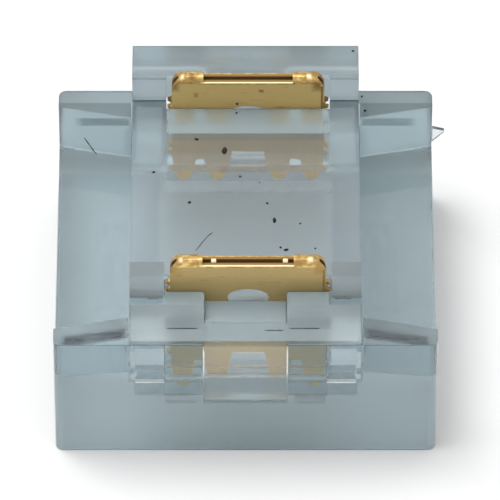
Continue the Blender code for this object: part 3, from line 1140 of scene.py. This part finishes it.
@dataclass
class Contacts(Assembly):
    """The two gilt contacts, the pale oval behind each one's hole and the posts in the front one's slot,
    whose pale colour is a painted highlight.

    Args:
        kit: Maker of the materials.
        frame: The loaded frame.
        finish: Plating of the contacts.
        soft_edge: Width of their rounded edges, in millimetres.
        middle: How far the middle of each fold lies from the middle of the part along Y, in millimetres.
        key: Middle of an oval: X, Y from the middle of its fold, and Z, in millimetres.
        key_half: Half the width and half the height of an oval, in millimetres.
        key_dome: Height of its dome, in millimetres.
        key_core: Half the size of its full-strength part, in millimetres.
        key_fade: Width of the fade outside that part, in millimetres.
        post_columns: X of the left and the right post, in millimetres.
        post_y: Y of their middles, in millimetres.
        post_z: Z of their middles, in millimetres.
        post_half: Half the size of a post, in millimetres.
    """

    frame: dict
    finish: GiltSheet = GILT
    soft_edge: float = 0.025
    middle: float = 4.98
    key: Point = (0.1, -0.27, 6.84)
    key_half: Span = (0.8, 0.485)
    key_dome: float = 0.02
    key_core: Point = (0.9, 0.1, 0.6)
    key_fade: float = 0.1
    post_columns: Span = (-1.22, 1.53)
    post_y: float = -5.0
    post_z: float = 8.56
    post_half: Point = (0.1, 0.085, 0.12)

    def build(self) -> None:
        """Builds both contacts, both ovals and both posts."""
        material = self.kit.gilt(self.finish)
        for name in ("contact_front", "contact_rear"):
            sheet = moulded_copy(self.frame["nodes"][name], name + "_sheet", self.soft_edge)
            self.dress(sheet, material, Body.CAP, Slot.CONTACT)
            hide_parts(name)
        for middle, label in ((-self.middle, "front"), (self.middle, "rear")):
            centre = (self.key[0], middle + self.key[1], self.key[2])
            key = domed_disc(label + "_key", centre, self.key_half, self.key_dome)
            look = self.kit.smudge(KEY_FACE, Core(centre, self.key_core, self.key_fade))
            self.dress(key, look, Body.CAP, Slot.CONTACT)
        # The posts' pale colour is a painted highlight.
        material = self.kit.speckle(POST_HIGHLIGHT)
        for x, side in zip(self.post_columns, ("left", "right")):
            post = soft_block("front_post_" + side, (x, self.post_y, self.post_z), self.post_half)
            self.dress(post, material, Body.CAP, Slot.CONTACT)


@dataclass
class Marks(Assembly):
    """Painted shade on the walls, painted light in the floor and the joints, painted reflections of the
    teeth, milky faces and dark lines, each a thin see-through sheet on or in the plastic.

    Args:
        kit: Maker of the materials.
        front_face: Y just behind the front faces, in millimetres.
        wing: Where a wing of the base starts and ends, in millimetres from the middle along X.
        wall_top: Z just under the walls' tops, in millimetres.
        floor: Z of the painted light band in the channel's floor, in millimetres.
        tongue_gap: Where the joint beside the tongue starts and ends, in millimetres from the middle.
        tongue_foot: Half the width of the joint below the tongue, in millimetres.
        window: Where a latch window starts and ends, in millimetres from the middle.
        level: Z just above the cap's plateau, in millimetres.
        block_level: Z just above its rear block, in millimetres.
        shelf_level: Z just above its front shelf, in millimetres.
        slope_start: Y at which the plane of its front slope is as high as level, in millimetres.
        slope_rise: How far that slope climbs for each millimetre towards +Y.
        half_tongue: Half the width of the tongue and of the shelf, in millimetres.
        ear: Where the cap beside the shelf starts and ends, in millimetres from the middle.
        seam_inset: How much deeper than the lit edges the seams in the joints lie, in millimetres.
        skin_inset: How much deeper than the lit edges the tongue's skins lie, in millimetres.
        line_core: Half the depth and half the height of a dark line's core, in millimetres.
    """

    front_face: float = -6.935
    wing: Span = (4.62, 7.25)
    wall_top: float = 5.944
    floor: float = 3.5
    tongue_gap: Span = (1.578, 1.642)
    tongue_foot: float = 1.64
    window: Span = (3.13, 4.27)
    level: float = 7.234
    block_level: float = 8.434
    shelf_level: float = 6.714
    slope_start: float = -6.0
    slope_rise: float = 1.1158
    half_tongue: float = 1.55
    ear: Span = (1.6, 4.42)
    seam_inset: float = 0.006
    skin_inset: float = 0.021
    line_core: float = 0.1

    def on_slope(self, x: float, y: float, lift: float = 0.0) -> Point:
        """The point at X and Y on the cap's front slope, raised by the lift, all in millimetres."""
        return x, y, self.level + lift + (y - self.slope_start) * self.slope_rise

    def mark(
        self, name: str, first: Edge, second: Edge, finish: Smudge, core: Core, body: Body = Body.BASE
    ) -> None:
        """One mark on a sheet between two edges along X.

        Args:
            name: Name of the piece.
            first: Ends of the sheet's first edge, in millimetres.
            second: Ends of its second edge.
            finish: Its finish.
            core: Where it is strongest.
            body: The body that it rides on.
        """
        # With each edge from left to right, the sheets of both halves face outwards.
        low, high = (tuple(sorted(edge)) for edge in (first, second))
        slot = Slot.BASE if body is Body.BASE else Slot.CAP
        self.dress(ruled_sheet(name, low, high), self.kit.smudge(finish, core), body, slot)

    def upright(
        self, name: str, across: Span, tall: Span, finish: Smudge, core: Span, fade: float,
        inset: float = 0.0, body: Body = Body.BASE,
    ) -> None:
        """One upright mark just behind the front face.

        Args:
            name: Name of the piece.
            across: Its two X limits, in millimetres.
            tall: Its two Z limits.
            finish: Its finish.
            core: Z of its strongest part and half that part's height.
            fade: Width of the fade.
            inset: How much deeper than the lit edges it lies.
            body: The body that it rides on.
        """
        y = self.front_face + inset
        low, high = (((across[0], y, z), (across[1], y, z)) for z in tall)
        half = (abs(across[1] - across[0]) / 2, THIN, core[1])
        self.mark(name, low, high, finish, Core(((across[0] + across[1]) / 2, y, core[0]), half, fade), body)

    def skin(self, name: str, first: Edge, second: Edge, finish: Smudge, fade: float) -> None:
        """One milky skin just above a dull face of the cap.

        Args:
            name: Name of the piece.
            first: Ends of the sheet's first edge, in millimetres.
            second: Ends of its second edge.
            finish: Its finish.
            fade: Width of the fade inside its edges; 0 leaves them crisp.
        """
        ends = np.array([*first, *second])
        middle = (ends.max(axis=0) + ends.min(axis=0)) / 2
        half = np.maximum(np.ptp(ends, axis=0) / 2 - fade, THIN)
        self.mark(name, first, second, finish, Core(tuple(middle), tuple(half), max(fade, CRISP)), Body.CAP)

    def flat_skin(
        self, name: str, across: Span, along: Span, z: float, finish: Smudge, fade: float = 0.0
    ) -> None:
        """One level milky skin.

        Args:
            name: Name of the piece.
            across: Its two X limits, in millimetres.
            along: Its two Y limits.
            z: Its height.
            finish: Its finish.
            fade: Width of the fade inside its edges; 0 leaves them crisp.
        """
        first, second = (((across[0], y, z), (across[1], y, z)) for y in along)
        self.skin(name, first, second, finish, fade)

    def slope_skin(self, name: str, across: Span, along: Span) -> None:
        """One milky skin with crisp edges on the front slope.

        Args:
            name: Name of the piece.
            across: Its two X limits, in millimetres.
            along: Its two Y limits.
        """
        first, second = ((self.on_slope(across[0], y), self.on_slope(across[1], y)) for y in along)
        self.skin(name, first, second, MILK, 0.0)

    def line(self, name: str, first: Edge, second: Edge, fade: float) -> None:
        """One thin dark line on the cap.

        Args:
            name: Name of the piece.
            first: Ends of the sheet's first edge, the left one first, in millimetres.
            second: Ends of its second edge.
            fade: Width of the fade at the line's two ends.
        """
        (left, y, z), (right, _, _) = first
        half = ((right - left) / 2 - fade, self.line_core, self.line_core)
        self.mark(name, first, second, DARK_LINE, Core(((left + right) / 2, y, z), half, fade), Body.CAP)

    def wings(self, side: float, label: str) -> None:
        """The painted shade on the front wall's top and in the rear wall, and the painted light band in the
        floor.

        Args:
            side: -1 for the left wing, 1 for the right one.
            label: Word for the side in the pieces' names.
        """
        near, far = (side * x for x in self.wing)
        top, floor = self.wall_top, self.floor
        # Painted shade along the front wall's top.
        self.mark(
            "front_rub_" + label,
            ((near, -6.93, top), (far, -6.93, top)),
            ((near, -5.65, top), (far, -6.2, top)),
            WALL_TOP_SHADE,
            Core((side * 5.85, -5.53, top), (1.05, 0.12, 0.3), 0.24),
        )
        # Painted shade in the rear wall.
        self.mark(
            "rear_streak_" + label,
            ((near, 5.52, 5.43), (far, 6.06, 4.88)),
            ((near, 5.52, 5.84), (far, 6.06, 5.29)),
            REAR_WALL_SHADE,
            Core((side * 5.45, 5.75, 5.36), (0.95, 0.6, 0.34), 0.4),
        )
        # Painted light in the channel's floor.
        self.mark(
            "floor_band_" + label,
            ((near, -3.4, floor), (far, -3.4, floor)),
            ((near, 2.4, floor), (far, 2.4, floor)),
            LIGHT_BAND,
            Core((side * 5.25, -0.5, floor), (0.35, 2.2, 0.3), 0.4),
        )

    def front_wall(self, side: float, label: str) -> None:
        """The painted light in the joint beside the tongue, the latch window's painted sheen and the painted
        glint on its edge, the painted reflections of the teeth below them, and the seams of the joints.

        Args:
            side: -1 for the left half, 1 for the right one.
            label: Word for the side in the pieces' names.
        """
        gap = (side * self.tongue_gap[0], side * self.tongue_gap[1])
        window = (side * self.window[0], side * self.window[1])
        self.upright("tongue_glint_" + label, gap, (3.0, 5.9), SEAM_LIGHT, core=(5.05, 0.55), fade=0.5)
        self.upright(
            "tongue_seam_" + label, gap, (2.72, 5.0), SEAM_FILL, core=(3.5, 0.9), fade=0.5,
            inset=self.seam_inset,
        )
        self.upright(
            "window_sheen_" + label, window, (3.2, 3.88), WINDOW_SHEEN, core=(3.5, 0.3), fade=0.08,
            inset=self.seam_inset,
        )
        self.upright("window_glint_" + label, window, (3.83, 3.88), SEAM_LIGHT, core=(3.855, 0.05), fade=0.1)
        # Painted reflection of the outer teeth below them.
        band = (side * 1.9, side * 3.1)
        self.upright("low_band_" + label, band, (2.6, 3.3), TEETH_REFLECTION, core=(2.95, 0.2), fade=0.12)
        lip = (side * 1.66, side * 4.44)
        self.upright(
            "lip_seam_" + label, lip, (5.96, 6.024), SEAM_FILL, core=(6.0, 0.05), fade=0.1, body=Body.CAP
        )

    def skins(self) -> None:
        """The dull faces of the cap: block top, plateau, shelf, front slope, ears, sides and tongue."""
        inner, outer = self.ear
        tongue = (-self.half_tongue, self.half_tongue)
        self.flat_skin("block_skin", (-outer, outer), (5.16, 6.92), self.block_level, THIN_MILK)
        self.flat_skin("plateau_skin", (-3.05, 3.05), (3.22, 4.6), self.level, STRIP_MILK, fade=0.06)
        self.flat_skin("shelf_skin", tongue, (-6.45, -5.33), self.shelf_level, MILK)
        self.slope_skin("slope_skin_middle", (-inner, inner), (-6.94, -6.47))
        for side, label in SIDES:
            ear = (side * inner, side * 3.2)
            self.slope_skin("slope_skin_" + label, (side * inner, side * outer), (-6.94, self.slope_start))
            self.flat_skin("ear_skin_" + label, ear, (self.slope_start, -5.33), self.level, MILK)
            border = (side * 3.15, side * outer)
            self.flat_skin("side_skin_" + label, border, (1.5, 4.8), self.level, THIN_MILK, fade=0.2)
        for name, tall, finish, core, fade in (
            ("tongue_skin_low", (2.82, 4.1), THIN_MILK, (3.46, 0.58), 0.06),
            ("tongue_skin_high", (4.1, 6.0), TONGUE_MILK, (5.05, 0.8), 0.15),
        ):
            self.upright(name, tongue, tall, finish, core, fade, self.skin_inset, Body.CAP)

    def cap_lines(self) -> None:
        """Thin dark lines: painted shade in the creases at the feet of the ridges, and lines across the front
        slope.
        """
        foot = self.level + 0.002
        # Painted shade in the creases at the ridges' feet.
        for left, right, label in ((-3.8, -3.3, "left"), (3.38, 4.1, "right")):
            first, second = (((left, y, foot), (right, y, foot)) for y in (-5.71, -5.665))
            self.line("ridge_foot_" + label, first, second, fade=0.1)
        for left, right, low, label in (
            (-3.06, -1.8, -6.63, "left"),
            (1.65, 2.9, -6.63, "right"),
            (0.7, 1.49, -6.68, "middle"),
        ):
            first, second = (
                (self.on_slope(left, y, 0.001), self.on_slope(right, y, 0.001)) for y in (low, low + 0.03)
            )
            self.line("slope_line_" + label, first, second, fade=0.15)

    def build(self) -> None:
        """Builds all the marks."""
        for side, label in SIDES:
            self.wings(side, label)
            self.front_wall(side, label)
        foot = (-self.tongue_foot, self.tongue_foot)
        self.upright("tongue_seam_bottom", foot, (2.718, 2.782), SEAM_FILL, core=(2.75, 0.05), fade=0.1)
        self.skins()
        self.cap_lines()


@dataclass
class Dust(Assembly):
    """Grit and fibres that lie on the cap and on the base.

    Args:
        kit: Maker of the materials.
        plateau: Z of the cap's plateau, in millimetres.
        block_top: Z of its rear block's top, in millimetres.
        wall_top: Z of the base's walls' tops, in millimetres.
        base_radius: Radius of the fibre on the base, in millimetres.
        cap_radius: Radius of the fibre on the cap, in millimetres.
    """

    plateau: float = 7.23
    block_top: float = 8.43
    wall_top: float = 5.95
    base_radius: float = 0.018
    cap_radius: float = 0.0144

    def cap_dust(self) -> bpy.types.Object:
        """The grit on the cap: each row has a grain's centre and its half sizes, in millimetres.

        Returns:
            The new object.
        """
        z = self.plateau
        rows = np.array([
            (-0.35, 4.39, z, 0.05, 0.05, 0.03),
            (-1.92, 2.94, z, 0.08, 0.06, 0.03),
            (-0.82, 2.32, z, 0.11, 0.16, 0.05),
            (-0.33, 4.685, 7.45, 0.05, 0.02, 0.05),
            (-0.20, 0.90, z, 0.05, 0.05, 0.03),
            (0.55, 0.57, z, 0.035, 0.035, 0.02),
            (-3.59, 1.12, z, 0.06, 0.05, 0.03),
            (-2.18, -0.52, z, 0.06, 0.06, 0.03),
            (0.84, -0.55, z, 0.06, 0.05, 0.03),
            (1.12, -1.48, z, 0.07, 0.16, 0.04),
            (2.12, -1.66, z, 0.045, 0.04, 0.02),
            (1.35, -2.95, z, 0.06, 0.05, 0.03),
            (1.58, -3.08, z, 0.09, 0.06, 0.03),
            (2.70, -3.00, z, 0.04, 0.05, 0.02),
            (4.24, 6.66, self.block_top, 0.05, 0.05, 0.03),
        ])
        return grains("cap_grit", rows[:, :3], rows[:, 3:], seed=4)

    def base_dust(self) -> bpy.types.Object:
        """The grit on the base, its rows as in the grit on the cap.

        Returns:
            The new object.
        """
        rows = np.array([
            (4.62, 6.60, self.wall_top, 0.05, 0.05, 0.03),
            (4.72, 5.80, self.wall_top, 0.05, 0.05, 0.03),
        ])
        return grains("base_grit", rows[:, :3], rows[:, 3:], seed=5)

    def build(self) -> None:
        """Builds the grit on the cap, the grit on the base and the two fibres."""
        material = self.kit.speckle(GRIT)
        self.dress(self.cap_dust(), material, Body.CAP, Slot.CAP)
        self.dress(self.base_dust(), material, Body.BASE, Slot.BASE)
        wall = [(-6.39, 5.80, 4.42), (-6.22, 5.76, 4.12), (-6.05, 5.70, 3.84), (-5.92, 5.58, 3.73)]
        self.dress(swept_fibre("base_fibre", wall, self.base_radius, seed=6), material, Body.BASE, Slot.BASE)
        z = self.plateau
        long = [(-1.93, -3.12, z), (-1.75, -2.85, z + 0.03), (-1.52, -2.45, z + 0.03), (-1.28, -2.16, z)]
        self.dress(swept_fibre("cap_fibre", long, self.cap_radius, seed=7), material, Body.CAP, Slot.CAP)


@dataclass
class Studio:
    """Camera, floor and light of the photograph.

    Args:
        elevation: Angle of the view above the horizontal, in degrees.
        distance: Distance of the camera, in metres.
        pixels_per_mm: Scale of the photograph.
        image_size: Its width and height, in pixels.
        middle_column: Its column at X = 0.
        base_row: Its row, from the top, of the point at Y = 0 and Z = 0.
        target_height: Height that the camera looks at, in millimetres.
        sensor: Width of the camera's sensor, in millimetres.
        nearest: Distance from which the camera sees, in metres.
        floor_size: Length and width of the floor, in metres.
        floor_thickness: Its thickness, in metres.
        floor_gap: Gap between it and the base, in metres.
        floor_colour: Its colour, linear RGB.
        floor_roughness: Its roughness.
        world_strength: Strength of the pale surround.
        lamp_size: Width of the soft light, in metres.
        lamp_place: Its place, in metres.
        lamp_energy: Its power, in watts.
    """

    elevation: float = 46.0
    distance: float = 0.3
    pixels_per_mm: float = 25.5
    image_size: int = 500
    middle_column: float = 245.5
    base_row: float = 321.5
    target_height: float = 4.0
    sensor: float = 36.0
    nearest: float = 0.01
    floor_size: float = 1.2
    floor_thickness: float = 0.001
    floor_gap: float = 0.00001
    floor_colour: Colour = (0.8, 0.8, 0.8)
    floor_roughness: float = 0.9
    world_strength: float = 0.86
    lamp_size: float = 0.25
    lamp_place: Point = (-0.15, 0.05, 0.4)
    lamp_energy: float = 1.2

    def camera(self) -> None:
        """A long lens from the front and above, as the photograph was taken."""
        tilt = math.radians(self.elevation)
        up = self.pixels_per_mm * math.cos(tilt)
        across = self.pixels_per_mm * math.sin(tilt)
        row = (self.base_row - up * self.target_height - self.image_size / 2) / across
        target = Vector((0.0, row * MM, self.target_height * MM))
        back = Vector((0.0, -math.cos(tilt), math.sin(tilt)))
        data = bpy.data.cameras.new("photo_camera")
        data.sensor_width = self.sensor
        data.lens = self.sensor * self.distance / (self.image_size / self.pixels_per_mm * MM)
        data.clip_start = self.nearest
        data.shift_x = (self.image_size / 2 - self.middle_column) / self.image_size
        data.dof.use_dof = False
        camera = bpy.data.objects.new("photo_camera", data)
        camera.location = target + back * self.distance
        camera.rotation_euler = (-back).to_track_quat("-Z", "Y").to_euler()
        bpy.context.scene.collection.objects.link(camera)
        bpy.context.scene.camera = camera

    def floor(self) -> None:
        """A pale floor just under the base."""
        bpy.ops.mesh.primitive_cube_add(size=1.0)
        floor = bpy.context.object
        floor.name = "studio_floor"
        drop = self.floor_thickness / 2 + self.floor_gap
        floor.data.transform(Matrix.Diagonal((self.floor_size, self.floor_size, self.floor_thickness, 1.0)))
        floor.data.transform(Matrix.Translation((0.0, 0.0, -drop)))
        material = bpy.data.materials.new("studio_floor")
        material.use_nodes = True
        shader = material.node_tree.nodes["Principled BSDF"]
        shader.inputs["Base Color"].default_value = (*self.floor_colour, 1.0)
        shader.inputs["Roughness"].default_value = self.floor_roughness
        floor.data.materials.append(material)

    def light(self) -> None:
        """An even white surround and one large soft light."""
        world = bpy.data.worlds.new("studio")
        world.use_nodes = True
        background = world.node_tree.nodes["Background"]
        background.inputs["Color"].default_value = (1.0, 1.0, 1.0, 1.0)
        background.inputs["Strength"].default_value = self.world_strength
        bpy.context.scene.world = world
        data = bpy.data.lights.new("soft_window", "AREA")
        data.size = self.lamp_size
        data.energy = self.lamp_energy
        light = bpy.data.objects.new("soft_window", data)
        bpy.context.scene.collection.objects.link(light)
        light.location = self.lamp_place
        light.rotation_euler = (-Vector(self.lamp_place)).to_track_quat("-Z", "Y").to_euler()

    def build(self) -> None:
        """Sets up camera, floor and light."""
        self.camera()
        self.floor()
        self.light()
        bpy.context.scene.view_settings.view_transform = "Standard"


def main() -> None:
    """Loads the frame, builds and reports every piece, and sets up the studio."""
    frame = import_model()
    kit = ShaderKit()
    for assembly in (Housing(kit, frame), PressCap(kit, frame), Contacts(kit, frame), Marks(kit), Dust(kit)):
        assembly.build()
        for piece in assembly.pieces:
            faces = len(piece.data.polygons)
            LOG.info("%s: %s, %d faces", type(assembly).__name__, piece.name, faces)
    Studio().build()


if __name__ == "__main__":
    main()
